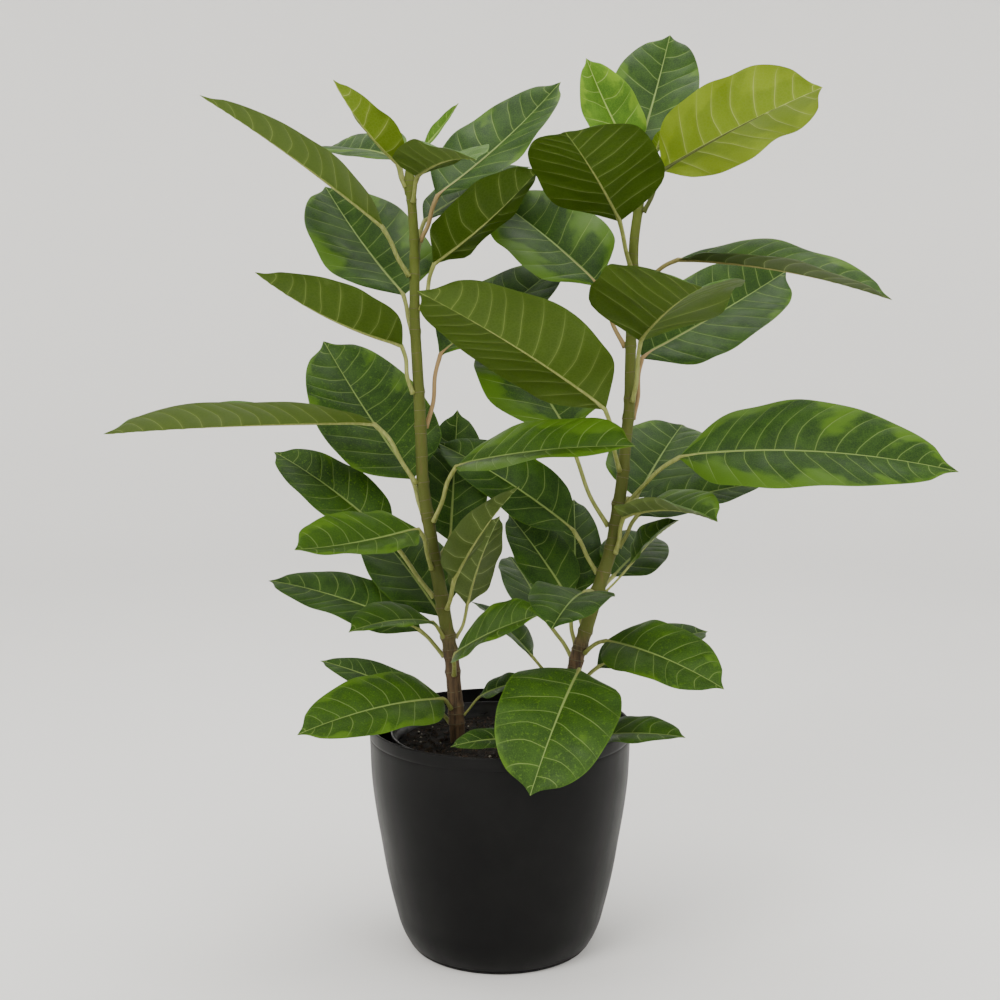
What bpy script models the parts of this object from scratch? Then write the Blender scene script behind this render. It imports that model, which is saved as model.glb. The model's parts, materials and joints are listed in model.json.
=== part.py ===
# Potted rubber plant: two stems in a grow pot, set inside a dark tapered pot.
# The origin is the centre of the underside of the outer pot, +Z is up and -Y is
# the front. Lengths are metres, except in the stem and leaf tables, in millimetres.
import math

import bmesh
import bpy
from mathutils import Vector

# overall sizes
POT_HEIGHT = 0.226
POT_RIM_RADIUS = 0.130
POT_BASE_RADIUS = 0.0855
POT_WALL = 0.003
POT_FLOOR = 0.004
RIM_BAND = 0.012
BAND_INSET = 0.0008
PLANT_SCALE = 1.0

# grow pot that stands inside the outer pot
GROW_RIM_RADIUS = POT_RIM_RADIUS - 0.021
GROW_BASE_RADIUS = POT_BASE_RADIUS - 0.0095
GROW_TOP = POT_HEIGHT - 0.009
GROW_WALL = 0.0012
GROW_GAP = 0.0004

# soil
SOIL_TOP = POT_HEIGHT - 0.023
SOIL_MOUND = 0.003
SOIL_GAP = 0.0005

# plant
STEM_RADIUS_FOOT = 0.0078
STEM_RADIUS_TOP = 0.0044
STEM_DEPTH = 0.060
PETIOLE_RADIUS = 0.0021
LEAF_WIDTH_SCALE = 1.0
LEAF_THICKNESS = 0.0020
CLEARANCE = 0.0005
RIM_OVERHANG = 0.0283

ROUND_STEPS = 52
STEM_SIDES = 12

# side of the outer pot: share of the height, share of the way from base to rim radius
POT_SIDE = [(0.011, 0.09), (0.027, 0.16), (0.05, 0.23), (0.10, 0.34), (0.18, 0.45),
            (0.27, 0.56), (0.37, 0.66), (0.48, 0.75), (0.60, 0.85), (0.74, 0.94)]

# stem centre lines in millimetres, z from the soil
STEMS = {
    "a": [(-42, 0, 0), (-44, 0, 36), (-48, 0, 86), (-56, 0, 136), (-66, 0, 196),
          (-75, 0, 256), (-78, 0, 336), (-82, 0, 416), (-82, 0, 496), (-86, 0, 558)],
    "b": [(56, 6, 0), (66, 6, 36), (77, 6, 86), (92, 6, 136), (110, 6, 196),
          (119, 6, 256), (126, 6, 336), (127, 6, 416), (129, 6, 496), (138, 6, 564)],
}

# one leaf per row, in millimetres and degrees:
# name, stem, height of its node above the soil, stalk run, blade run, way the upper
# side looks, width, fold of each half, bow of the midrib, fullness of the outer half
LEAVES = [
    ("a01", "a", 462, (-35, -20, 50), (-152, -60, 108), (0.0, 0.0, 1.0), 70, 32, 3, 0.3),
    ("a02", "a", 540, (-18, 24, 34), (-86, 110, 11), (0.0, -0.6, 1.0), 78, 15, 8, 0.5),
    ("a03", "a", 546, (-14, -8, 22), (-51, -60, 67), (0.5, 0.4, 0.7), 58, 30, -5, 0.3),
    ("a04", "a", 532, (8, -24, 22), (56, -115, 4), (-0.1, 0.2, 1.0), 80, 22, 6, 0.6),
    ("a05", "a", 550, (14, 4, 32), (32, -8, 40), (-0.6, -0.6, 0.5), 19, 25, -2, 0.3),
    ("a06", "a", 495, (26, 14, 46), (117, 75, 113), (-0.4, -0.7, 0.6), 92, 15, -6, 0.5),
    ("a07", "a", 478, (12, 38, 40), (102, 105, 57), (-0.3, -0.6, 0.8), 60, 18, 5, 0.4),
    ("a08", "a", 430, (24, -14, 46), (95, -20, 84), (-0.5, 0.5, 0.7), 90, 18, -5, 0.7),
    ("a09", "a", 408, (-15, 24, 38), (-86, 120, 109), (0.3, -0.8, 0.5), 118, 14, -6, 0.7),
    ("a10", "a", 350, (-20, -16, 47), (-123, -70, 66), (0.0, 0.2, 1.0), 98, 28, -8, 0.5),
    ("a12", "a", 231, (-18, 22, 35), (-95, 100, 129), (0.3, -0.8, 0.4), 120, 12, -6, 0.7),
    ("a13", "a", 262, (-55, -25, 60), (-234, -60, -6), (0.0, 0.1, 1.0), 92, 28, 2, 1.0),
    ("a14", "a", 148, (-55, 14, 59), (-119, 65, 76), (0.0, -0.6, 0.8), 68, 12, 8, 0.6),
    ("a15", "a", 178, (-20, -36, 42), (-102, -90, -5), (0.1, -0.5, 0.9), 72, 18, -4, 0.9),
    ("a16", "a", 88, (-36, 14, 25), (-156, 65, 36), (0.0, -0.5, 0.9), 68, 10, 8, 0.5),
    ("a17", "a", 110, (-16, -26, 18), (-72, -75, 6), (0.0, -0.4, 0.9), 54, 18, 6, 0.6),
    ("a18", "a", 95, (-14, 38, 30), (-77, 90, 77), (0.3, -0.7, 0.6), 92, 12, 5, 0.6),
    ("a21", "a", 183, (14, 36, 19), (5, 90, 121), (0.0, -0.9, 0.3), 74, 14, -5, 0.5),
    ("a23", "a", 225, (35, -32, 58), (156, -95, 26), (0.0, -0.5, 0.9), 84, 16, 5, 0.9),
    ("a24", "a", 138, (14, -22, 36), (60, -55, 93), (-0.6, 0.4, 0.5), 68, 20, 4, 0.5),
    ("a25", "a", 107, (20, 8, 36), (31, -8, 85), (-0.5, 0.7, 0.3), 62, 15, 4, 0.5),
    ("a27", "a", 72, (6, -34, 28), (77, -85, 54), (-0.3, -0.5, 0.8), 66, 16, 4, 0.6),
    ("a28", "a", 38, (-14, -22, 12), (-130, -85, -12), (0.0, -0.6, 0.8), 76, 10, 10, 0.7),
    ("a29", "a", 20, (-30, 20, 14), (-118, 85, 24), (0.0, -0.6, 0.8), 40, 12, 6, 0.4),
    ("a31", "a", 30, (26, -8, 20), (52, -4, 14), (0.0, -0.3, 1.0), 36, 12, 4, 0.4),
    ("a32", "a", 316, (25, 26, 75), (118, 90, 87), (-0.3, -0.6, 0.7), 94, 14, -4, 0.6),
    ("b01", "b", 470, (-18, -31, 46), (-55, -130, 64), (-0.1, 0.3, 1.0), 120, 16, 5, 0.8),
    ("b02", "b", 553, (-2, 18, 30), (36, 75, 118), (-0.2, -0.9, 0.2), 90, 12, -5, 0.8),
    ("b03", "b", 548, (-12, 4, 30), (-42, 5, 88), (0.3, -0.9, 0.2), 62, 14, -4, 0.5),
    ("b04", "b", 523, (26, -16, 40), (132, -60, 65), (-0.3, 0.7, 0.6), 108, 12, 4, 1.1),
    ("b05", "b", 560, (10, -8, 16), (6, -4, 22), (-0.4, 0.6, 0.3), 14, 20, 0, 0.4),
    ("b06", "b", 394, (-36, 24, 64), (-98, 95, 84), (0.2, -0.8, 0.5), 110, 14, 5, 0.7),
    ("b07", "b", 342, (10, -28, 62), (38, -135, 45), (0.1, 0.1, 1.0), 142, 22, 5, 0.9),
    ("b08", "b", 448, (48, -22, 28), (180, -70, -38), (0.0, -0.2, 1.0), 84, 28, 7, 0.5),
    ("b09", "b", 324, (20, 20, 62), (151, 90, 81), (-0.2, -0.8, 0.5), 100, 14, -4, 1.1),
    ("b10", "b", 274, (-28, -42, 68), (-166, -80, 104), (0.3, 0.7, 0.7), 126, 12, 5, 0.8),
    ("b11", "b", 218, (-50, 22, 96), (-58, 100, 78), (0.3, -0.8, 0.4), 134, 12, 5, 0.8),
    ("b12", "b", 171, (-34, 20, 43), (-134, 60, 78), (0.2, -0.7, 0.6), 76, 16, 8, 0.5),
    ("b13", "b", 150, (-16, -40, 8), (-34, -105, -13), (0.0, -0.3, 0.9), 78, 14, 6, 0.8),
    ("b14", "b", 98, (-14, 18, 46), (-58, 60, 74), (0.3, -0.8, 0.4), 62, 14, 4, 0.5),
    ("b15", "b", 82, (-30, 60, 32), (-36, 100, 46), (0.3, -0.7, 0.5), 66, 12, 4, 0.6),
    ("b16", "b", 112, (-9, 40, 31), (3, 90, 84), (0.1, -0.9, 0.3), 56, 12, 4, 0.5),
    ("b17", "b", 92, (28, -30, 16), (100, -85, -26), (0.0, -0.6, 0.8), 78, 10, 8, 0.7),
    ("b18", "b", 54, (32, 16, 19), (120, 95, 14), (0.0, -0.5, 0.9), 54, 12, 6, 0.6),
    ("b19", "b", 238, (24, 46, 4), (57, 115, 62), (-0.2, -0.8, 0.5), 100, 12, 5, 0.8),
    ("b20", "b", 240, (66, -26, 50), (237, -75, -8), (0.0, -0.7, 0.7), 110, 12, 16, 0.5),
    ("b21", "b", 197, (30, 8, 32), (128, 34, 26), (-0.1, -0.5, 0.9), 60, 12, 5, 0.5),
    ("b22", "b", 193, (14, -22, 38), (76, -85, 6), (0.0, -0.1, 1.0), 74, 26, 8, 0.8),
    ("b23", "b", 153, (34, -8, 31), (44, 2, 40), (-0.7, -0.2, 0.7), 46, 25, 3, 0.5),
    ("b24", "b", 147, (22, 40, 15), (51, 100, 22), (0.0, -0.7, 0.7), 66, 12, 4, 0.6),
    ("b25", "b", 50, (4, -72, 36), (-46, -90, -90), (-0.1, -0.8, 0.6), 112, 10, 12, 0.8),
    ("b26", "b", 28, (22, -74, -3), (85, -50, 14), (0.0, -0.3, 1.0), 54, 10, 4, 0.5),
    ("b27", "b", 20, (-50, -92, 8), (-58, -12, -4), (0.0, -0.4, 0.9), 30, 10, 3, 0.5),
    ("b28", "b", 48, (-40, 28, 36), (-58, 50, 42), (0.6, -0.2, 0.7), 54, 14, 3, 0.4),
]

# rings along a blade: share of the length, half width of a lean and of a full leaf
OUTLINE = [(0.03, 0.36, 0.44), (0.10, 0.70, 0.80), (0.23, 0.93, 0.97), (0.40, 1.00, 1.00),
           (0.58, 0.86, 0.98), (0.75, 0.55, 0.86), (0.90, 0.22, 0.54)]

COLOURS = {
    "pot": ((0.012, 0.012, 0.013), 0.42),
    "grow_pot": ((0.008, 0.008, 0.009), 0.32),
    "soil": ((0.030, 0.020, 0.013), 0.95),
    "stem": ((0.150, 0.120, 0.050), 0.75),
    "leaf_dark": ((0.030, 0.090, 0.018), 0.42),
    "leaf_mid": ((0.075, 0.170, 0.022), 0.45),
    "leaf_young": ((0.200, 0.320, 0.030), 0.48),
}
MID_LEAVES = ("a01", "a04", "a08", "a10", "a13", "b01", "b07", "b10")
YOUNG_LEAVES = ("a03", "a05", "b03", "b04", "b05")


def clear_scene():
    for obj in list(bpy.data.objects):
        bpy.data.objects.remove(obj, do_unlink=True)


def make_materials():
    made = {}
    for name, (colour, roughness) in COLOURS.items():
        mat = bpy.data.materials.new(name)
        mat.use_nodes = True
        shader = mat.node_tree.nodes["Principled BSDF"]
        shader.inputs["Base Color"].default_value = (*colour, 1.0)
        shader.inputs["Roughness"].default_value = roughness
        shader.inputs["Metallic"].default_value = 0.0
        mat.diffuse_color = (*colour, 1.0)
        made[name] = mat
    return made


def finish_object(name, bm, material, location, parent):
    """Put a finished bmesh into a named object, with its faces pointing outwards."""
    bmesh.ops.recalc_face_normals(bm, faces=bm.faces)
    if bm.faces and bm.calc_volume(signed=True) < 0.0:
        bmesh.ops.reverse_faces(bm, faces=bm.faces)
    mesh = bpy.data.meshes.new(name)
    bm.to_mesh(mesh)
    bm.free()
    mesh.shade_smooth()
    mesh.materials.append(material)
    obj = bpy.data.objects.new(name, mesh)
    bpy.context.scene.collection.objects.link(obj)
    obj.parent = parent
    obj.location = location
    return obj


def add_empty(name, location, parent):
    empty = bpy.data.objects.new(name, None)
    empty.empty_display_size = 0.02
    bpy.context.scene.collection.objects.link(empty)
    empty.parent = parent
    empty.location = location
    return empty


def add_turned(name, profile, material, parent):
    """Turn a closed run of (radius, height) points about Z with a Screw modifier."""
    bm = bmesh.new()
    points = [bm.verts.new((radius, 0.0, height)) for radius, height in profile]
    for first, second in zip(points, points[1:]):
        bm.edges.new((first, second))
    obj = finish_object(name, bm, material, Vector((0.0, 0.0, 0.0)), parent)
    screw = obj.modifiers.new("turn", "SCREW")
    screw.axis = "Z"
    screw.steps = ROUND_STEPS
    screw.render_steps = ROUND_STEPS
    screw.use_merge_vertices = True
    screw.merge_threshold = 0.00001
    screw.use_smooth_shade = True
    return obj


def add_loft(name, rings, first_point, last_point, material, location, parent):
    """Bridge rings of points into a skin and draw each end in to one point."""
    bm = bmesh.new()
    loops = []
    for ring in rings:
        verts = [bm.verts.new(point) for point in ring]
        edges = [bm.edges.new((vert, after)) for vert, after in zip(verts, verts[1:] + verts[:1])]
        loops.append((verts, edges))
    for (_, low), (_, high) in zip(loops, loops[1:]):
        bmesh.ops.bridge_loops(bm, edges=low + high)
    for (verts, _), end_point in ((loops[0], first_point), (loops[-1], last_point)):
        cap = bm.faces.new(verts)
        centre = bmesh.ops.poke(bm, faces=[cap])["verts"][0]
        centre.co = end_point
    return finish_object(name, bm, material, location, parent)


def side_point(share_up, share_out, inward=0.0):
    spread = POT_RIM_RADIUS - POT_BASE_RADIUS
    return (POT_BASE_RADIUS + spread * share_out - inward, POT_HEIGHT * share_up)


def make_pot(material, parent):
    """Outer pot: flat base, swelling side, a shallow band under a rounded rim."""
    band_foot = POT_HEIGHT - RIM_BAND
    band_radius = POT_RIM_RADIUS - BAND_INSET
    profile = [(0.0, 0.0), (POT_BASE_RADIUS, 0.0)]
    for share_up, share_out in POT_SIDE:
        profile.append(side_point(share_up, share_out))
    profile.append((POT_RIM_RADIUS - 0.0002, band_foot - 0.0015))
    profile.append((band_radius, band_foot))
    profile.append((band_radius, POT_HEIGHT - 0.0012))
    profile.append((band_radius - POT_WALL * 0.3, POT_HEIGHT))
    profile.append((POT_RIM_RADIUS - POT_WALL * 0.8, POT_HEIGHT))
    profile.append((POT_RIM_RADIUS - POT_WALL, POT_HEIGHT - 0.0012))
    profile.append((POT_RIM_RADIUS - POT_WALL - 0.0004, band_foot))
    for share_up, share_out in reversed(POT_SIDE[3:]):
        profile.append(side_point(share_up, share_out, POT_WALL))
    profile.append((side_point(*POT_SIDE[2])[0] - POT_WALL - 0.002, POT_FLOOR))
    profile.append((0.0, POT_FLOOR))
    return add_turned("outer_pot", profile[::-1], material, parent)


def grow_radius(height):
    """Outside radius of the grow pot's plain tapered side."""
    share = (height - POT_FLOOR) / (GROW_TOP - POT_FLOOR)
    return GROW_BASE_RADIUS + (GROW_RIM_RADIUS - 0.003 - GROW_BASE_RADIUS) * share


def make_grow_pot(material, parent):
    """Thin pot that holds the soil, with a turned-out rim."""
    foot = POT_FLOOR + GROW_GAP
    rise = GROW_TOP - foot
    profile = [(0.0, foot), (GROW_BASE_RADIUS - 0.002, foot), (GROW_BASE_RADIUS, foot + 0.002)]
    profile.append((grow_radius(foot + rise * 0.5), foot + rise * 0.5))
    profile.append((grow_radius(GROW_TOP - 0.010), GROW_TOP - 0.010))
    profile.append((GROW_RIM_RADIUS - 0.0005, GROW_TOP - 0.0075))
    profile.append((GROW_RIM_RADIUS, GROW_TOP - 0.0008))
    profile.append((GROW_RIM_RADIUS - 0.0006, GROW_TOP))
    profile.append((GROW_RIM_RADIUS - 0.0022, GROW_TOP))
    profile.append((GROW_RIM_RADIUS - 0.0028, GROW_TOP - 0.0008))
    profile.append((grow_radius(GROW_TOP - 0.009) - GROW_WALL, GROW_TOP - 0.009))
    profile.append((grow_radius(foot + rise * 0.5) - GROW_WALL, foot + rise * 0.5))
    profile.append((GROW_BASE_RADIUS - GROW_WALL, foot + 0.004))
    profile.append((GROW_BASE_RADIUS - GROW_WALL - 0.002, foot + GROW_WALL))
    profile.append((0.0, foot + GROW_WALL))
    return add_turned("grow_pot", profile[::-1], material, parent)


def make_soil(material, stems, parent):
    """A body of soil filling the grow pot, with a socket round each buried stem."""
    foot = POT_FLOOR + GROW_GAP + GROW_WALL + SOIL_GAP
    profile = [(0.0, foot), (GROW_BASE_RADIUS - GROW_WALL - 0.004, foot),
               (GROW_BASE_RADIUS - GROW_WALL - 0.001, foot + 0.005)]
    height = foot + (SOIL_TOP - foot) * 0.5
    profile.append((grow_radius(height) - GROW_WALL - SOIL_GAP, height))
    edge = grow_radius(SOIL_TOP - 0.002) - GROW_WALL - SOIL_GAP
    profile.append((edge, SOIL_TOP - 0.002))
    profile.append((edge - 0.003, SOIL_TOP))
    profile.append((edge * 0.72, SOIL_TOP + SOIL_MOUND * 0.6))
    profile.append((edge * 0.42, SOIL_TOP + SOIL_MOUND))
    profile.append((0.0, SOIL_TOP + SOIL_MOUND * 1.1))
    soil = add_turned("soil", profile[::-1], material, parent)
    for key, path in stems.items():
        cut_socket(soil, key, path)
    return soil


def cut_socket(soil, key, path):
    """Take the way of one buried stem out of the soil."""
    low = SOIL_TOP - STEM_DEPTH - CLEARANCE
    high = SOIL_TOP + 0.02
    radius = STEM_RADIUS_FOOT + CLEARANCE
    lean = foot_lean(path)
    bm = bmesh.new()
    bmesh.ops.create_cone(bm, cap_ends=True, segments=16, radius1=radius, radius2=radius,
                          depth=high - low)
    for vert in bm.verts:
        height = vert.co.z + 0.5 * (high + low)
        vert.co += path[0] + lean * (height - path[0].z) - Vector((0.0, 0.0, vert.co.z))
    cutter = finish_object("socket_" + key, bm, soil.data.materials[0],
                           Vector((0.0, 0.0, 0.0)), soil)
    cutter.hide_render = True
    cutter.display_type = "WIRE"
    cut = soil.modifiers.new("socket_" + key, "BOOLEAN")
    cut.operation = "DIFFERENCE"
    cut.solver = "EXACT"
    cut.object = cutter


def foot_lean(path):
    """Sideways run of a stem's foot for each metre of height."""
    return (path[1] - path[0]) / (path[1].z - path[0].z)


def stem_point(path, height):
    """Centre of a stem at a height."""
    for low, high in zip(path, path[1:]):
        if height <= high.z or high is path[-1]:
            return low.lerp(high, (height - low.z) / (high.z - low.z))
    return path[-1]


def stem_radius(path, height):
    share = (height - path[0].z) / (path[-1].z - path[0].z)
    share = max(0.0, min(1.0, share))
    return STEM_RADIUS_FOOT + (STEM_RADIUS_TOP - STEM_RADIUS_FOOT) * share ** 0.8


def make_stem(key, path, material, parent):
    """A round stem from its buried foot to a short pointed shoot at the top."""
    heights = [SOIL_TOP - STEM_DEPTH, SOIL_TOP - STEM_DEPTH * 0.5]
    for low, high in zip(path, path[1:]):
        heights.append(low.z)
        heights.append(0.5 * (low.z + high.z))
    heights.append(path[-1].z)
    lean = foot_lean(path)
    rings = []
    for height in heights:
        if height < path[0].z:
            centre = path[0] + lean * (height - path[0].z)
            radius = STEM_RADIUS_FOOT * 0.96
        else:
            centre = stem_point(path, height)
            radius = stem_radius(path, height)
        rings.append(circle(centre - path[0], Vector((1.0, 0.0, 0.0)),
                            Vector((0.0, 1.0, 0.0)), radius, STEM_SIDES))
    foot = lean * (heights[0] - path[0].z) - Vector((0.0, 0.0, 0.0004))
    shoot = path[-1] - path[0] + Vector((0.001, 0.0, 0.012))
    return add_loft("stem_" + key, rings, foot, shoot, material, path[0], parent)


def circle(centre, side, up, radius, count):
    points = []
    for step in range(count):
        angle = math.pi - 2.0 * math.pi * step / count
        points.append(centre + side * radius * math.cos(angle) + up * radius * math.sin(angle))
    return points


def hermite(start, start_run, end, end_run, share):
    a = 2.0 * share ** 3 - 3.0 * share ** 2 + 1.0
    b = share ** 3 - 2.0 * share ** 2 + share
    c = -2.0 * share ** 3 + 3.0 * share ** 2
    d = share ** 3 - share ** 2
    return start * a + start_run * b + end * c + end_run * d


def square_to(direction, hint):
    return (hint - direction * hint.dot(direction)).normalized()


def rim_shift(tip, out):
    """How far out a leaf is carried so that a tip hanging below the rim stays clear of it."""
    if tip.z > POT_HEIGHT - 0.010:
        return Vector((0.0, 0.0, 0.0))
    return out * (POT_RIM_RADIUS + RIM_OVERHANG - math.hypot(tip.x, tip.y))


def leaf_ring(centre, along, up, half, fold, thick, keel, ripple):
    """Eight points round a section: edge, top three, edge, underside three."""
    side = along.cross(up).normalized()
    rise = math.sin(fold)
    reach = math.cos(fold)
    bulge = 0.06 * half
    edge_left = centre - side * half * reach + up * (half * rise + ripple)
    edge_right = centre + side * half * reach + up * (half * rise - ripple)
    mid_left = centre - side * half * reach * 0.52 + up * (half * rise * 0.52 + bulge)
    mid_right = centre + side * half * reach * 0.52 + up * (half * rise * 0.52 + bulge)
    return [edge_left, mid_left + up * thick * 0.5, centre + up * thick * 0.4,
            mid_right + up * thick * 0.5, edge_right, mid_right - up * thick * 0.5,
            centre - up * keel, mid_left - up * thick * 0.5]


def make_leaf(row, path, material, parent):
    """One leaf: a stalk that rises off the stem and runs into a folded, bowed blade."""
    name, _, node, stalk, blade, look, width, fold, bow, full = row
    height = path[0].z + node * PLANT_SCALE / 1000.0
    centre = stem_point(path, height)
    stalk = Vector(stalk) * PLANT_SCALE / 1000.0
    run = Vector(blade) * PLANT_SCALE / 1000.0
    out = Vector((stalk.x, stalk.y, 0.0)).normalized()
    stalk += rim_shift(centre + stalk + run, out)
    foot_run = out * (stem_radius(path, height) + CLEARANCE + PETIOLE_RADIUS * 0.9)
    base = stalk - foot_run
    tip = base + run
    up = square_to(run.normalized(), Vector(look).normalized())
    crown = base + run * 0.5 + up * bow * 2.0 * PLANT_SCALE / 1000.0
    rings, foot = stalk_rings(out, base, (crown - base).normalized(), up)
    half_width = width * LEAF_WIDTH_SCALE * PLANT_SCALE / 2000.0
    for index, (share, lean_half, full_half) in enumerate(OUTLINE):
        point = base * (1 - share) ** 2 + crown * 2 * share * (1 - share) + tip * share ** 2
        way = ((crown - base) * (1 - share) + (tip - crown) * share).normalized()
        half = half_width * (lean_half + (full_half - lean_half) * full)
        ripple = 0.045 * half * math.sin(2.3 * index + 0.37 * node)
        bend = math.radians(fold) * min(1.0, 0.55 + share)
        keel = LEAF_THICKNESS * (1.25 - 0.8 * share)
        rings.append(leaf_ring(point, way, square_to(way, up), half, bend,
                               LEAF_THICKNESS * (1.0 - 0.35 * share), keel, ripple))
    return add_loft("leaf_" + name, rings, foot, tip, material, centre + foot_run - path[0],
                    parent)


def stalk_rings(out, base, end_way, up):
    """Rings of the stalk from its foot at the origin, and the foot's end point."""
    start_way = (out + Vector((0.0, 0.0, 1.0))).normalized()
    span = base.length
    start = Vector((0.0, 0.0, 0.0))
    rings = []
    foot = start
    for share in (0.86, 0.6, 0.3, 0.0):
        point = hermite(start, start_way * span, base, end_way * span, share)
        ahead = hermite(start, start_way * span, base, end_way * span, share + 0.02)
        way = (ahead - point).normalized()
        up = square_to(way, up)
        radius = PETIOLE_RADIUS
        if share == 0.0:
            radius = PETIOLE_RADIUS * 1.12
            foot = point - way * 0.0003
        rings.insert(0, circle(point, way.cross(up).normalized(), up, radius, 8))
    return rings, foot


clear_scene()
materials = make_materials()
whole = add_empty("potted_plant", Vector((0.0, 0.0, 0.0)), None)
paths = {}
for stem_key, stem_points in STEMS.items():
    paths[stem_key] = [Vector(point) * PLANT_SCALE / 1000.0 + Vector((0.0, 0.0, SOIL_TOP + 0.001))
                       for point in stem_points]
make_pot(materials["pot"], whole)
make_grow_pot(materials["grow_pot"], whole)
make_soil(materials["soil"], paths, whole)
stems = {}
for stem_key, stem_path in paths.items():
    stems[stem_key] = make_stem(stem_key, stem_path, materials["stem"], whole)
for leaf_row in LEAVES:
    if leaf_row[0] in YOUNG_LEAVES:
        finish = materials["leaf_young"]
    elif leaf_row[0] in MID_LEAVES:
        finish = materials["leaf_mid"]
    else:
        finish = materials["leaf_dark"]
    stem_key = leaf_row[1]
    make_leaf(leaf_row, paths[stem_key], finish, stems[stem_key])
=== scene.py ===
import json
import math

import bmesh
import bpy
import numpy as np
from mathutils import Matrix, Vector, noise


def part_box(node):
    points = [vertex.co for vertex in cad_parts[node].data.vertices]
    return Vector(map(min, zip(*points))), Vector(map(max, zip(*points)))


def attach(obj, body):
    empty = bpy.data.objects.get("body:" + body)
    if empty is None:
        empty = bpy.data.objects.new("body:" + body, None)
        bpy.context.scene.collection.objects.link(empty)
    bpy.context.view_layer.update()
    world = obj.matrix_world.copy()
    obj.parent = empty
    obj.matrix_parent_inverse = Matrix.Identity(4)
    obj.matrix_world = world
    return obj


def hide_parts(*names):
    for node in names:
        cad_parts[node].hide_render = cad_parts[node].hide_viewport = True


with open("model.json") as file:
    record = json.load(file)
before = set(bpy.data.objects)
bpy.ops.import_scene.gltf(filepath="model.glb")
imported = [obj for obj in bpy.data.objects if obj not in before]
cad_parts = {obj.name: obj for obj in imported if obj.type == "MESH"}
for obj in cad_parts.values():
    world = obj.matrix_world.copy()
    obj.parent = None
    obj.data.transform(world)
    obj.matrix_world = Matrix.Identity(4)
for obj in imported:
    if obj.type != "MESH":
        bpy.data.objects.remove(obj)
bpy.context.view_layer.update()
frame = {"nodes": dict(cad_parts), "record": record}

nodes = frame["nodes"]


# small helpers shared by the pieces

def setInput(item, socket, value):
    # the value may be a socket of another node
    if isinstance(value, bpy.types.NodeSocket):
        item.id_data.links.new(value, item.inputs[socket])
    else:
        item.inputs[socket].default_value = value


def addNode(tree, kind, settings=None, **sockets):
    item = tree.nodes.new(kind)
    for key, value in (settings or {}).items():
        setattr(item, key, value)
    for label, value in sockets.items():
        setInput(item, label.replace("_", " "), value)
    return item


def mathNode(tree, operation, first, second=0.0, third=0.0):
    item = addNode(tree, "ShaderNodeMath", {"operation": operation})
    for index, value in enumerate((first, second, third)):
        setInput(item, index, value)
    return item.outputs[0]


def times(tree, first, second):
    return mathNode(tree, "MULTIPLY", first, second)


def stepNode(tree, value, low, high, start=0.0, end=1.0):
    # soft step from start to end while value goes from low to high
    item = addNode(tree, "ShaderNodeMapRange", {"interpolation_type": "SMOOTHSTEP"}, Value=value,
                   From_Min=low, From_Max=high, To_Min=start, To_Max=end)
    return item.outputs["Result"]


def mixColours(tree, share, first, second):
    item = addNode(tree, "ShaderNodeMix", {"data_type": "RGBA"})
    setInput(item, 0, share)
    for index, value in ((6, first), (7, second)):
        linked = isinstance(value, bpy.types.NodeSocket)
        setInput(item, index, value if linked else (*value, 1.0))
    return item.outputs[2]


def gradeColours(tree, value, low, high, first, second, most=1.0):
    # from the first colour towards the second while value goes from low to high
    return mixColours(tree, stepNode(tree, value, low, high, 0.0, most), first, second)


def layOver(tree, base, share, strength, colour):
    return mixColours(tree, times(tree, share, strength), base, colour)


def noiseNode(tree, vector, scale, detail=3.0, roughness=0.5):
    item = addNode(tree, "ShaderNodeTexNoise", Vector=vector, Scale=scale, Detail=detail,
                   Roughness=roughness)
    return item.outputs["Fac"]


def attributeNode(tree, name):
    return addNode(tree, "ShaderNodeAttribute", {"attribute_name": name}).outputs["Fac"]


def newMaterial(name, viewColour):
    # gives the material, its tree and shader, and the piece's own coordinates
    made = bpy.data.materials.new(name)
    made.use_nodes = True
    made.diffuse_color = (*viewColour, 1.0)
    tree = made.node_tree
    place = addNode(tree, "ShaderNodeTexCoord").outputs["Object"]
    return made, tree, tree.nodes["Principled BSDF"], place


def stretched(tree, vector, scale):
    return addNode(tree, "ShaderNodeMapping", Vector=vector, Scale=scale).outputs["Vector"]


def dress(shader, colour, rough, specular=None):
    # roughness may be a socket or a number, the specular level is always a number
    setInput(shader, "Base Color", colour)
    setInput(shader, "Roughness", rough)
    if specular is not None:
        shader.inputs["Specular IOR Level"].default_value = specular


def addBump(tree, shader, height, strength, distance):
    item = addNode(tree, "ShaderNodeBump", Height=height, Strength=strength,
                   Distance=distance)
    setInput(shader, "Normal", item.outputs["Normal"])


def smoothRun(knots, values, places):
    # a smooth curve through values at knots, read at any places
    knots = np.asarray(knots, float)
    values = np.asarray(values, float)
    flat = np.clip(np.asarray(places, float).ravel(), knots[0], knots[-1])
    slopes = np.gradient(values, knots, axis=0)
    index = np.clip(np.searchsorted(knots, flat, side="right") - 1, 0, len(knots) - 2)
    span = knots[index + 1] - knots[index]
    share = (flat - knots[index]) / span
    if values.ndim > 1:
        share, span = share[:, None], span[:, None]
    run = (values[index] * (2 * share**3 - 3 * share**2 + 1)
           + slopes[index] * span * (share**3 - 2 * share**2 + share)
           + values[index + 1] * (3 * share**2 - 2 * share**3)
           + slopes[index + 1] * span * (share**3 - share**2))
    return run.reshape(np.shape(places) + values.shape[1:])


def softStep(low, high, value):
    share = np.clip((value - low) / (high - low), 0.0, 1.0)
    return share * share * (3 - 2 * share)


def unit(rows):
    rows = np.asarray(rows, float)
    return rows / np.maximum(np.linalg.norm(rows, axis=-1, keepdims=True), 1e-12)


def newObject(name, data):
    made = bpy.data.objects.new(name, data)
    bpy.context.scene.collection.objects.link(made)
    return made


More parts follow.
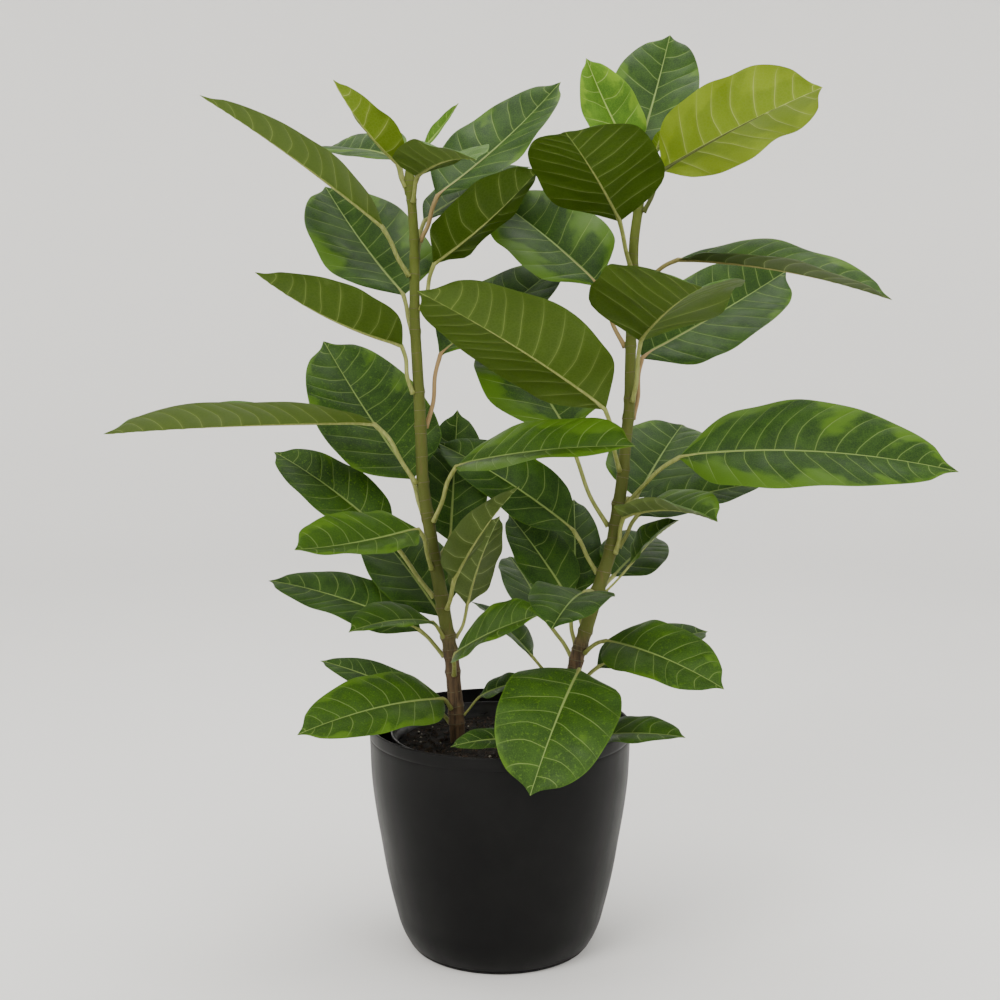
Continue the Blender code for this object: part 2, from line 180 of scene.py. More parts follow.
def newPiece(name, points, faces, materials, faceSlots=None, uvs=None, seamSlots=()):
    # mesh from point and face lists, merged where rows meet in one point
    mesh = bpy.data.meshes.new(name)
    mesh.from_pydata([tuple(p) for p in points], [], faces)
    for item in materials:
        mesh.materials.append(item)
    mesh.polygons.foreach_set("material_index", faceSlots or [0] * len(faces))
    corners = np.array([v for face in faces for v in face])
    for uvName, values in (uvs or {}).items():
        layer = mesh.uv_layers.new(name=uvName)
        layer.data.foreach_set("uv", np.asarray(values, np.float32)[corners].ravel())
    build = bmesh.new()
    build.from_mesh(mesh)
    bmesh.ops.remove_doubles(build, verts=build.verts, dist=1e-6)
    bmesh.ops.dissolve_degenerate(build, edges=build.edges, dist=1e-7)
    bmesh.ops.recalc_face_normals(build, faces=build.faces)
    for edge in build.edges:
        slots = {face.material_index for face in edge.link_faces}
        edge.smooth = not (len(slots) == 2 and slots == set(seamSlots))
    for face in build.faces:
        face.smooth = True
    build.to_mesh(mesh)
    build.free()
    return newObject(name, mesh)


def tubeRows(path, radii, sides):
    # rings of points along a path, turned as little as possible from ring to ring
    path = np.asarray(path, float)
    ways = unit(np.gradient(path, axis=0))
    side = np.cross(ways[0], (0.0, 0.0, 1.0))
    if np.linalg.norm(side) < 0.1:
        side = np.cross(ways[0], (1.0, 0.0, 0.0))
    angles = (np.arange(sides) * 2 * math.pi / sides)[:, None]
    rows = []
    for point, way, radius in zip(path, ways, radii):
        side = unit(side - way * side.dot(way))
        other = np.cross(way, side)
        rows.append(point + radius * (np.cos(angles) * side + np.sin(angles) * other))
    return rows


def ringFaces(rowCount, sides, start=0):
    # quads between rings of points that follow each other in the point list
    faces = []
    for row in range(rowCount - 1):
        low, high = start + row * sides, start + (row + 1) * sides
        for step in range(sides):
            after = (step + 1) % sides
            faces.append((low + step, low + after, high + after, high + step))
    return faces


def tubeFaces(rowCount, sides, start):
    # rings, and a fan to one point at each end (the last two points)
    faces = ringFaces(rowCount, sides, start)
    first = start + rowCount * sides
    last = first - sides
    for step in range(sides):
        after = (step + 1) % sides
        faces.append((start + after, start + step, first))
        faces.append((last + step, last + after, first + 1))
    return faces


def turnedPiece(name, profile, steps, finish):
    # turns a run of radius and height points round the upright axis
    points = []
    for radius, height in profile:
        for step in range(steps):
            angle = step * 2 * math.pi / steps
            points.append((radius * math.cos(angle), radius * math.sin(angle), height))
    return newPiece(name, points, ringFaces(len(profile), steps), [finish])


def setValues(piece, values):
    # one number for the whole piece or one for each point, read by its materials
    count = len(piece.data.vertices)
    for key, value in values.items():
        layer = piece.data.attributes.new(key, "FLOAT", "POINT")
        layer.data.foreach_set("value", np.full(count, value, np.float32))


def readRings(nodeName, sides):
    # walks a lofted CAD solid from one end point to the other, ring by ring
    build = bmesh.new()
    build.from_mesh(nodes[nodeName].data)
    bmesh.ops.remove_doubles(build, verts=build.verts, dist=1e-6)
    for start in [v for v in build.verts if len(v.link_edges) == sides]:
        layers, seen = [[start]], {start}
        while True:
            ahead = []
            for vert in layers[-1]:
                for edge in vert.link_edges:
                    other = edge.other_vert(vert)
                    if other not in seen:
                        seen.add(other)
                        ahead.append(other)
            if not ahead:
                break
            layers.append(ahead)
        if len(layers[-1]) == 1 and all(len(layer) == sides for layer in layers[1:-1]):
            break
    rings = []
    for layer in layers[1:-1]:
        members, ring = set(layer), [layer[0]]
        while len(ring) < sides:
            ahead = [e.other_vert(ring[-1]) for e in ring[-1].link_edges]
            ring.append(next(v for v in ahead if v in members and v not in ring))
        rings.append(np.array([v.co[:] for v in ring]))
    ends = [np.array(layers[0][0].co[:]), np.array(layers[-1][0].co[:])]
    build.free()
    return ends, rings


# camera, stage and light

view = {"place": (0.0, -1.5, 0.645), "pitch": 82.5, "lens": 55.7, "sensor": 36.0}
cameraData = bpy.data.cameras.new("camera")
cameraData.sensor_fit = "HORIZONTAL"
cameraData.sensor_width = view["sensor"]
cameraData.lens = view["lens"]
camera = newObject("camera", cameraData)
camera.location = view["place"]
camera.rotation_euler = (math.radians(view["pitch"]), 0.0, 0.0)
bpy.context.scene.camera = camera


def makeStage():
    # round pale floor that curves up into a low wall far behind everything
    stage = {"radius": 3.2, "bend": 0.9, "bendSteps": 12, "wall": 2.6, "steps": 96,
             "below": 0.0003, "grey": (0.92, 0.915, 0.905), "white": (0.95, 0.945, 0.935),
             "rough": 0.7}
    flat, bend = stage["radius"] - stage["bend"], stage["bend"]
    rows = [(0.0, 0.0), (1.0, 0.0), (flat, 0.0)]
    for angle in np.linspace(0.0, math.pi / 2, stage["bendSteps"] + 1)[1:]:
        rows.append((flat + bend * math.sin(angle), bend * (1 - math.cos(angle))))
    rows.append((stage["radius"], stage["wall"]))
    paint, tree, shader, place = newMaterial("stagePaint", stage["grey"])
    grain = noiseNode(tree, place, 3.0, 4.0)
    dress(shader, mixColours(tree, grain, stage["grey"], stage["white"]), stage["rough"])
    profile = [(radius, height - stage["below"]) for radius, height in rows]
    floor = turnedPiece("stageFloor", profile, stage["steps"], paint)


# place, height of the spot it aims at, size, power and colour
lights = {
    "keyLight": ((-1.3, -2.0, 2.3), 0.5, 1.5, 54.0, (1.0, 0.98, 0.93)),
    "fillLight": ((1.9, -1.7, 1.3), 0.5, 1.8, 22.0, (1.0, 0.99, 0.96)),
    "topLight": ((0.2, 0.3, 2.5), 0.3, 1.6, 34.0, (1.0, 0.99, 0.95)),
}
room = {"colour": (1.0, 0.985, 0.955, 1.0), "strength": 0.80}


def addLight(name, place, aim, size, power, colour):
    data = bpy.data.lights.new(name, "AREA")
    data.shape = "DISK"
    data.size = size
    data.energy = power
    data.color = colour
    lamp = newObject(name, data)
    lamp.location = place
    way = Vector((0.0, 0.0, aim)) - Vector(place)
    lamp.rotation_euler = way.to_track_quat("-Z", "Y").to_euler()


makeStage()
for lightName, light in lights.items():
    addLight(lightName, *light)
world = bpy.data.worlds.new("softRoom")
world.use_nodes = True
background = world.node_tree.nodes["Background"]
setInput(background, "Color", room["colour"])
setInput(background, "Strength", room["strength"])
bpy.context.scene.world = world
print("camera, stage and lights are set")


# leaf finishes

greens = {
    "leaf_dark": {
        "deep": (0.012, 0.036, 0.004), "plain": (0.025, 0.064, 0.006),
        "patch": (0.072, 0.152, 0.008), "vein": (0.19, 0.27, 0.07),
        "under": (0.052, 0.080, 0.016), "underPatch": (0.095, 0.140, 0.022),
        "underVein": (0.21, 0.27, 0.085), "rough": 0.46},
    "leaf_mid": {
        "deep": (0.024, 0.064, 0.006), "plain": (0.042, 0.105, 0.008),
        "patch": (0.090, 0.195, 0.012), "vein": (0.22, 0.33, 0.08),
        "under": (0.038, 0.074, 0.004), "underPatch": (0.125, 0.178, 0.036),
        "underVein": (0.19, 0.25, 0.055), "rough": 0.47},
    "leaf_young": {
        "deep": (0.050, 0.125, 0.008), "plain": (0.085, 0.190, 0.010),
        "patch": (0.160, 0.290, 0.014), "vein": (0.30, 0.42, 0.10),
        "under": (0.135, 0.210, 0.010), "underPatch": (0.225, 0.315, 0.014),
        "underVein": (0.40, 0.46, 0.12), "rough": 0.47},
}
# how strongly each layer covers the ones before it
upperLook = {"halo": 0.14, "speckle": 0.6, "patch": 0.72, "fineVeins": 0.30, "margin": 0.45,
             "tone": 0.6, "line": 0.62, "rib": 0.92, "softness": 0.13, "ior": 1.42,
             "specular": 0.20}
underLook = {"patch": 0.65, "tone": 0.7, "fineVeins": 0.05, "halo": 0.12, "line": 0.60,
             "rib": 0.9, "softness": 0.16, "ior": 1.38, "specular": 0.22, "darker": 0.86}
veinLook = {"line": (0.008, 0.032), "halo": 0.20, "fade": (0.55, 1.0), "faded": 0.25,
            "ribFoot": 0.016, "ribTip": 0.004}


def readMap(tree, name):
    uv = addNode(tree, "ShaderNodeUVMap", {"uv_map": name}).outputs["UV"]
    return addNode(tree, "ShaderNodeSeparateXYZ", Vector=uv).outputs


def veinPattern(tree):
    # side veins run along the rows of the blade's own map, the midrib down its middle
    look, blade = veinLook, readMap(tree, "blade")
    along = blade["Y"]
    signed = mathNode(tree, "MULTIPLY_ADD", blade["X"], 2.0, -1.0)
    across = mathNode(tree, "ABSOLUTE", signed)
    rightSide = mathNode(tree, "GREATER_THAN", signed, 0.0)
    turn = times(tree, along, attributeNode(tree, "veinCount"))
    turn = mathNode(tree, "MULTIPLY_ADD", rightSide, 0.5, turn)  # the two sides alternate
    share = mathNode(tree, "FRACT", mathNode(tree, "ADD", turn, 0.5))
    gap = mathNode(tree, "ABSOLUTE", mathNode(tree, "SUBTRACT", share, 0.5))
    reach = stepNode(tree, across, *look["fade"], 1.0, look["faded"])
    line = times(tree, stepNode(tree, gap, *look["line"], 1.0, 0.0), reach)
    halo = times(tree, stepNode(tree, gap, 0.0, look["halo"], 1.0, 0.0), reach)
    away = mathNode(tree, "ABSOLUTE", readMap(tree, "size")["X"])
    width = stepNode(tree, along, 0.0, 0.95, look["ribFoot"], look["ribTip"])
    rib = stepNode(tree, mathNode(tree, "DIVIDE", away, width), 0.55, 1.15, 1.0, 0.0)
    return {"along": along, "across": across, "line": line, "halo": halo, "rib": rib,
            "right": rightSide}


def patchPattern(tree, veins, softness):
    # bright flames that come in from the margin between the side veins
    side = mathNode(tree, "MULTIPLY_ADD", veins["right"], 7.3, attributeNode(tree, "leafSeed"))
    spot = addNode(tree, "ShaderNodeCombineXYZ",
                   X=times(tree, veins["across"], 1.1),
                   Y=times(tree, veins["along"], 4.2), Z=side)
    flame = noiseNode(tree, spot.outputs["Vector"], 1.25)
    grown = mathNode(tree, "MULTIPLY_ADD", veins["across"], 0.42, flame)
    level = mathNode(tree, "SUBTRACT", 1.18, attributeNode(tree, "patchShare"))
    return stepNode(tree, grown, level, mathNode(tree, "ADD", level, softness))


def cellEdges(tree, place, scale):
    # distance from the net of the finest veins
    cells = addNode(tree, "ShaderNodeTexVoronoi", {"feature": "DISTANCE_TO_EDGE"}, Vector=place,
                    Scale=scale)
    return cells.outputs["Distance"]


def makeUpper(slot):
    green, look = greens[slot], upperLook
    made, tree, shader, place = newMaterial("upper_" + slot, green["plain"])
    veins = veinPattern(tree)
    mottle = noiseNode(tree, place, 42.0, 4.0, 0.6)
    speckle = stepNode(tree, noiseNode(tree, place, 330.0, 2.0, 0.7), 0.58, 0.66)
    net = stepNode(tree, cellEdges(tree, place, 420.0), 0.0, 0.10)
    layers = {
        "halo": veins["halo"],
        "speckle": times(tree, speckle, attributeNode(tree, "speckle")),
        "patch": patchPattern(tree, veins, look["softness"]),
        "fineVeins": mathNode(tree, "SUBTRACT", 1.0, net),
        "margin": stepNode(tree, veins["across"], 0.965, 0.995),
        "tone": attributeNode(tree, "tone"),
    }
    base = gradeColours(tree, mottle, 0.35, 0.68, green["deep"], green["plain"])
    for name, share in layers.items():
        base = layOver(tree, base, share, look[name], green["patch"])
    for name in ("line", "rib"):
        base = layOver(tree, base, veins[name], look[name], green["vein"])
    rough = stepNode(tree, noiseNode(tree, place, 60.0), 0.3, 0.7, green["rough"] - 0.05,
                     green["rough"] + 0.09)
    dress(shader, base, rough, look["specular"])
    shader.inputs["IOR"].default_value = look["ior"]
    cells = times(tree, net, 0.16)
    sunk = mathNode(tree, "MULTIPLY_ADD", veins["line"], -0.9, cells)
    sunk = mathNode(tree, "MULTIPLY_ADD", veins["rib"], 0.7, sunk)
    addBump(tree, shader, sunk, 0.55, 0.0006)
    return made


def makeUnder(slot):
    green, look = greens[slot], underLook
    made, tree, shader, place = newMaterial("under_" + slot, green["under"])
    veins = veinPattern(tree)
    mottle = noiseNode(tree, place, 36.0, 4.0, 0.6)
    net = stepNode(tree, cellEdges(tree, place, 300.0), 0.02, 0.16, 1.0, 0.0)
    dark = tuple(look["darker"] * part for part in green["under"])
    base = gradeColours(tree, mottle, 0.35, 0.68, dark, green["under"])
    patch = patchPattern(tree, veins, look["softness"])
    base = layOver(tree, base, patch, look["patch"], green["underPatch"])
    base = layOver(tree, base, attributeNode(tree, "tone"), look["tone"], green["underPatch"])
    base = layOver(tree, base, net, look["fineVeins"], green["underVein"])
    for name in ("halo", "line", "rib"):
        base = layOver(tree, base, veins[name], look[name], green["underVein"])
    dress(shader, base, stepNode(tree, mottle, 0.3, 0.7, 0.50, 0.62), look["specular"])
    shader.inputs["IOR"].default_value = look["ior"]
    raised = mathNode(tree, "ADD", veins["line"], times(tree, net, 0.1))
    addBump(tree, shader, raised, 0.5, 0.0006)
    return made


def makeStalkFinish():
    stalk = {"green": (0.17, 0.22, 0.045), "pale": (0.27, 0.31, 0.09),
             "blush": (0.32, 0.20, 0.09), "dark": (0.060, 0.075, 0.015),
             "fleck": (0.12, 0.10, 0.05)}
    made, tree, shader, place = newMaterial("stalkSkin", stalk["green"])
    streak = noiseNode(tree, stretched(tree, place, (420.0, 420.0, 60.0)), 1.0, 3.0, 0.6)
    base = gradeColours(tree, streak, 0.35, 0.7, stalk["green"], stalk["pale"])
    base = mixColours(tree, attributeNode(tree, "blush"), base, stalk["blush"])
    base = mixColours(tree, attributeNode(tree, "shade"), base, stalk["dark"])
    fleck = stepNode(tree, noiseNode(tree, place, 900.0, 2.0), 0.62, 0.70)
    base = layOver(tree, base, fleck, 0.25, stalk["fleck"])
    dress(shader, base, stepNode(tree, streak, 0.3, 0.7, 0.46, 0.60), 0.25)
    addBump(tree, shader, streak, 0.25, 0.0004)
    return made


finishes = {slot: (makeUpper(slot), makeUnder(slot)) for slot in greens}
stalkSkin = makeStalkFinish()
print("leaf finishes are ready")


# leaves

# patch: how much of the blade is bright, tone: overall lightness, speckle: fine bright dots,
# blush: pink of the stalk, shade: darkness of the stalk
leafLooks = {
    "a01": {"tone": 0.45}, "a02": {"patch": 0.35}, "a03": {"patch": 0.1}, "a04": {"tone": 0.42},
    "a05": {"tone": 0.1, "blush": 0.5}, "a06": {"patch": 0.26, "blush": 0.8},
    "a07": {"patch": 0.36}, "a09": {"patch": 0.4}, "a10": {"tone": 0.15},
    "a12": {"patch": 0.32, "speckle": 0.8}, "a13": {"tone": 0.45},
    "a14": {"patch": 0.26, "speckle": 1.0, "tone": 0.08}, "a15": {"patch": 0.44, "tone": 0.36},
    "a17": {"patch": 0.3, "tone": 0.18}, "a23": {"patch": 0.48, "tone": 0.3, "speckle": 0.3},
    "a24": {"tone": 0.1}, "a25": {"patch": 0.2},
    "a27": {"patch": 0.32, "tone": 0.22, "speckle": 0.5},
    "a28": {"patch": 0.36, "tone": 0.26, "speckle": 0.6}, "a32": {"patch": 0.3, "blush": 0.9},
    "b02": {"patch": 0.3}, "b03": {"patch": 0.4},
    "b04": {"patch": 0.5, "shade": 0.9, "tone": 0.42}, "b05": {"tone": 0.1, "blush": 0.4},
    "b06": {"patch": 0.48, "blush": 0.8}, "b07": {"tone": 0.22},
    "b08": {"patch": 0.38, "tone": 0.08, "blush": 0.5}, "b09": {"patch": 0.25, "blush": 0.9},
    "b10": {"tone": 0.22}, "b11": {"patch": 0.44, "speckle": 0.7},
    "b17": {"patch": 0.34, "tone": 0.22, "speckle": 0.6}, "b19": {"patch": 0.34},
    "b20": {"patch": 0.43}, "b22": {"patch": 0.46, "tone": 0.28},
    "b23": {"patch": 0.4, "tone": 0.12}, "b25": {"patch": 0.27, "tone": 0.16, "speckle": 0.9},
    "b26": {"tone": 0.15},
}

# shape of the drawn blades, in metres or as shares of a blade's own size
leafSettings = {
    "thickness": 0.0007, "depth": 0.28, "veinGap": 0.0185, "fewestVeins": 6, "veinSlant": 0.50,
    "unevenness": 0.32, "quilt": 0.0014, "quiltFrom": 0.03, "ridge": 0.00035, "sag": 0.045,
    "wave": 0.030, "groove": 0.0004, "grooveWidth": 0.0016,
}
marginSettings = {"steps": 241, "reach": 24, "spread": 11.0, "ends": 0.14, "foot": 0.0016,
                  "pinch": 0.42, "pinchFrom": 0.90, "pinchTo": 0.968}
stalkSettings = {"radius": 0.0021, "swelling": 1.35, "sides": 10, "steps": 17, "ribSteps": 24,
                 "intoStem": 0.0024, "fullLength": 0.12, "thinnest": 0.55, "ribDrop": 0.0002}
subRows = (0.0, 0.07, 0.25, 0.43, 0.5, 0.57, 0.75, 0.93)
columns = (0.0, 0.012, 0.035, 0.08, 0.16, 0.28, 0.42, 0.57, 0.72, 0.85, 0.94, 0.985, 1.0)
slotOf = {row["node"]: row["material_slot"] for row in frame["record"]["subparts"]}


def bladeFrame(ring):
    # the farthest opposite pair of a section are its margins
    pair = max(range(4), key=lambda k: np.linalg.norm(ring[k] - ring[k + 4]))
    edges = ring[pair], ring[pair + 4]
    mids = ring[(pair + 2) % 8], ring[(pair + 6) % 8]
    centre = (mids[0] + mids[1]) / 2
    lift = (edges[0] + edges[1]) / 2 - centre
    top, low = mids if (mids[0] - centre).dot(lift) > 0 else mids[::-1]
    depth = leafSettings["depth"]
    return top * (1 - depth) + low * depth, unit(top - low), edges


def flatness(ring):
    spans = [np.linalg.norm(ring[k] - ring[k + 4]) for k in range(4)]
    return max(spans) / min(spans)


def readLeaf(nodeName):
    ends, rings = readRings(nodeName, 8)
    if flatness(rings[0]) > flatness(rings[-1]):
        ends, rings = ends[::-1], rings[::-1]
    stalk = [ends[0]] + [ring.mean(axis=0) for ring in rings[:4]]
    centres, ups, lefts, rights = [stalk[-1]], [], [], []
    for ring in rings[4:]:
        centre, up, edges = bladeFrame(ring)
        side = np.cross(ends[1] - stalk[-1], up)
        if (edges[0] - edges[1]).dot(side) > 0:
            edges = edges[::-1]
        centres.append(centre)
        ups.append(up)
        lefts.append(edges[0] - centre)
        rights.append(edges[1] - centre)
    centres = np.array([*centres, ends[1]])
    steps = np.linalg.norm(np.diff(centres, axis=0), axis=1)
    knots = np.concatenate([[0.0], np.cumsum(steps)]) / steps.sum()
    return {"stalk": np.array(stalk), "centres": centres, "knots": knots, "length": steps.sum(),
            "ups": np.array([ups[0], *ups, ups[-1]]),
            "lefts": np.array(lefts), "rights": np.array(rights)}


def bladeSide(leaf, edges, places, shares):
    # points of one half of the blade before its relief, and their distance from the midrib
    m = marginSettings
    widths = np.linalg.norm(edges, axis=1)
    fine = np.linspace(0.0, 1.0, m["steps"])
    read = np.maximum(smoothRun(leaf["knots"], [m["foot"], *widths, 0.0], fine), 0.0)
    spread = np.exp(-((np.arange(-m["reach"], m["reach"] + 1) / m["spread"]) ** 2))
    padded = np.pad(read, m["reach"], mode="edge")
    soft = np.convolve(padded, spread / spread.sum(), mode="valid")
    keep = softStep(0.0, m["ends"], fine) * softStep(1.0, 1 - m["ends"], fine)
    half = np.interp(places, fine, read + (soft - read) * keep)
    # the tip is drawn out into a short point
    half = half * (1 - m["pinch"] * softStep(m["pinchFrom"], m["pinchTo"], places))
    ways = unit(edges)
    ways = unit(smoothRun(leaf["knots"], [ways[0], *ways, ways[-1]], places))
    centre = smoothRun(leaf["knots"], leaf["centres"], places)
    away = half * shares
    return centre + ways * away[..., None], half, away


def bladeRelief(places, away, half, onRight, turn, seed):
    # between side veins the blade bulges a little, and its margin waves gently
    s = leafSettings
    bulge = np.abs(np.sin(math.pi * turn)) ** 0.7 * away * (1 - away**4)
    wave = (np.sin(places * 11.0 + seed * 2.4 + np.where(onRight, 1.3, 0.0))
            + 0.5 * np.sin(places * 23.0 + seed * 1.1 + np.where(onRight, 2.9, 0.0)))
    return (s["quilt"] * bulge * np.minimum(half / s["quiltFrom"], 1.0)
            + s["sag"] * half * np.sin(math.pi * away)
            + s["wave"] * half * away**2.5 * wave * np.sin(math.pi * places))


def makeBlade(leaf, seed, count):
    # points, faces, face slots and the two maps of a blade's upper and under side
    s = leafSettings
    rows = [(whole + part) / count for whole in range(count) for part in subRows] + [1.0]
    shares = [-share for share in columns[:0:-1]] + list(columns)
    along, across = np.meshgrid(rows, shares, indexing="ij")
    away, onRight = np.abs(across), across > 0
    # side veins slant forwards and are not quite evenly spaced
    uneven = np.sin(9.0 * along + 1.7 * seed + np.where(onRight, 1.9, 0.0))
    uneven = s["unevenness"] / count * uneven * np.sin(math.pi * along)
    places = along + uneven * softStep(0.0, 0.45, away)
    places = places + s["veinSlant"] * along**0.75 * (1 - along) * away**1.5
    places = np.clip(places, 0.0, 1.0)
    leftPoint, leftHalf, leftAway = bladeSide(leaf, leaf["lefts"], places, away)
    rightPoint, rightHalf, rightAway = bladeSide(leaf, leaf["rights"], places, away)
    middle = np.where(onRight[..., None], rightPoint, leftPoint)
    half = np.where(onRight, rightHalf, leftHalf)
    signed = np.where(onRight, rightAway, -leftAway)
    up = unit(smoothRun(leaf["knots"], leaf["ups"], places))
    turn = along * count + np.where(onRight, 0.5, 0.0)
    groove = s["groove"] * np.exp(-((signed / s["grooveWidth"]) ** 2))
    relief = bladeRelief(places, away, half, onRight, turn, seed)
    middle = middle + up * (relief - groove)[..., None]
    rim = 0.5 * s["thickness"] * (1 - away**6)
    ridge = s["ridge"] * (0.5 + 0.5 * np.cos(2 * math.pi * turn)) ** 6 * (1 - away**3)
    closing = softStep(0.0, 0.03, along) * softStep(1.0, 0.985, along)
    top = middle + up * (rim * closing)[..., None]
    low = middle - up * ((rim + ridge) * closing)[..., None]
    # margin columns are shared by both sides of the blade
    for column in (0, -1):
        low[:, column] = top[:, column] = middle[:, column]
    points = np.concatenate([top.reshape(-1, 3), low.reshape(-1, 3)])
    bladeMap = np.stack([0.5 + 0.5 * across, along], axis=-1).reshape(-1, 2)
    sizeMap = np.stack([signed * 10, places * leaf["length"] * 10], axis=-1).reshape(-1, 2)
    rowCount, columnCount = along.shape
    faces, faceSlots = [], []
    for layer in (0, 1):
        for row in range(rowCount - 1):
            for column in range(columnCount - 1):
                a = (layer * rowCount + row) * columnCount + column
                face = (a, a + 1, a + columnCount + 1, a + columnCount)
                faces.append(face if layer == 0 else face[::-1])
                faceSlots.append(layer)
    return points, faces, faceSlots, {"blade": bladeMap, "size": sizeMap}


def makeStalk(leaf):
    # rings of the stalk, from inside the stem's skin to the blade and on as a rib under
    # the midrib, then its two end points
    s = stalkSettings
    spine = leaf["stalk"][1:]
    inward = unit(spine[0] - spine[1]) * s["intoStem"]
    run = np.vstack([spine[0] + inward, spine])
    lengths = np.concatenate([[0.0], np.cumsum(np.linalg.norm(np.diff(run, axis=0), axis=1))])
    fine = np.linspace(0.0, 1.0, s["steps"])
    path = smoothRun(lengths / lengths[-1], run, fine)
    thin = max(s["thinnest"], min(1.0, leaf["length"] / s["fullLength"]))
    foot = (s["swelling"] - 1) * np.exp(-fine / 0.10)
    radii = s["radius"] * thin * (1 + foot + 0.10 * softStep(0.8, 1.0, fine))
    shares = np.linspace(0.03, 0.97, s["ribSteps"])
    start = softStep(0.0, 0.10, shares)
    ribRadii = radii[-1] * (0.10 + 0.90 * (1 - shares) ** 1.5) * (1 - 0.35 * start)
    ribUp = unit(smoothRun(leaf["knots"], leaf["ups"], shares))
    drop = ribRadii * 0.72 * start + s["ribDrop"]
    ribPath = smoothRun(leaf["knots"], leaf["centres"], shares) - ribUp * drop[:, None]
    path = np.vstack([path, ribPath])
    rings = tubeRows(path, np.concatenate([radii, ribRadii]), s["sides"])
    return np.vstack([*rings, path[0] + inward * 0.1, path[-1]]), len(rings)


def makeLeaf(nodeName, seed):
    leaf = readLeaf(nodeName)
    look = {"patch": 0.16, "tone": 0.0, "blush": 0.15, "speckle": 0.1, "shade": 0.0}
    look.update(leafLooks.get(nodeName[5:], {}))
    count = max(leafSettings["fewestVeins"], round(leaf["length"] / leafSettings["veinGap"]))
    points, faces, faceSlots, maps = makeBlade(leaf, seed, count)
    stalkPoints, ringCount = makeStalk(leaf)
    faces += tubeFaces(ringCount, stalkSettings["sides"], len(points))
    faceSlots += [2] * (len(faces) - len(faceSlots))
    stalkMap = np.zeros((len(stalkPoints), 2))
    uvs = {name: np.vstack([values, values, stalkMap]) for name, values in maps.items()}
    slot = slotOf[nodeName]
    piece = newPiece("leaf" + nodeName[5:].upper(), np.vstack([points, stalkPoints]), faces,
                     [*finishes[slot], stalkSkin], faceSlots, uvs, (0, 1))
    values = {"veinCount": float(count), "leafSeed": seed * 3.17, "patchShare": look["patch"]}
    setValues(piece, values | {key: look[key] for key in ("tone", "blush", "speckle", "shade")})
    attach(piece, "root")
    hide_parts(nodeName)
    return leaf["stalk"][0]


leafFeet = {"a": [], "b": []}
for leafSeed, leafNode in enumerate(sorted(n for n in nodes if n.startswith("leaf_"))):
    leafFeet[leafNode[5]].append(makeLeaf(leafNode, leafSeed))
print("leaves:", sum(len(feet) for feet in leafFeet.values()))


# stems

stemSettings = {"sides": 28, "step": 0.0025, "bark": 0.00042, "swell": 0.13,
                "swellWidth": 0.0028, "barkFrom": 0.150, "barkTo": 0.050,
                "grain": 330, "grainLength": 45}
shootTip = {"along": (0.35, 0.7, 0.97), "thin": (0.86, 0.48, 0.08)}
soilLow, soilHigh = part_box("soil")


def makeStemFinish():
    stem = {"olive": (0.072, 0.086, 0.014), "fresh": (0.098, 0.126, 0.017),
            "brown": (0.125, 0.080, 0.040), "dark": (0.046, 0.030, 0.017),
            "ash": (0.19, 0.135, 0.080)}
    made, tree, shader, place = newMaterial("stemSkin", stem["olive"])
    streak = noiseNode(tree, stretched(tree, place, (300.0, 300.0, 28.0)), 1.0, 5.0, 0.65)
    cloud = noiseNode(tree, place, 38.0, 4.0, 0.6)
    height = attributeNode(tree, "height")
    green = gradeColours(tree, height, 0.45, 0.95, stem["olive"], stem["fresh"])
    green = gradeColours(tree, streak, 0.52, 0.72, green, stem["brown"], 0.5)
    bark = gradeColours(tree, streak, 0.36, 0.62, stem["dark"], stem["brown"])
    bark = gradeColours(tree, cloud, 0.55, 0.72, bark, stem["ash"], 0.45)
    share = mathNode(tree, "ADD", attributeNode(tree, "barkShare"),
                     mathNode(tree, "MULTIPLY_ADD", cloud, 0.9, -0.45))
    base = gradeColours(tree, share, 0.25, 0.75, green, bark)
    dots = addNode(tree, "ShaderNodeTexVoronoi", Scale=1.0,
                   Vector=stretched(tree, place, (520.0, 520.0, 300.0)))
    dot = stepNode(tree, dots.outputs["Distance"], 0.10, 0.20, 1.0, 0.0)
    base = layOver(tree, base, dot, 0.18, stem["ash"])
    dress(shader, base, stepNode(tree, streak, 0.3, 0.7, 0.55, 0.8), 0.22)
    addBump(tree, shader, mathNode(tree, "MULTIPLY_ADD", dot, 0.4, streak), 0.5, 0.0008)
    return made


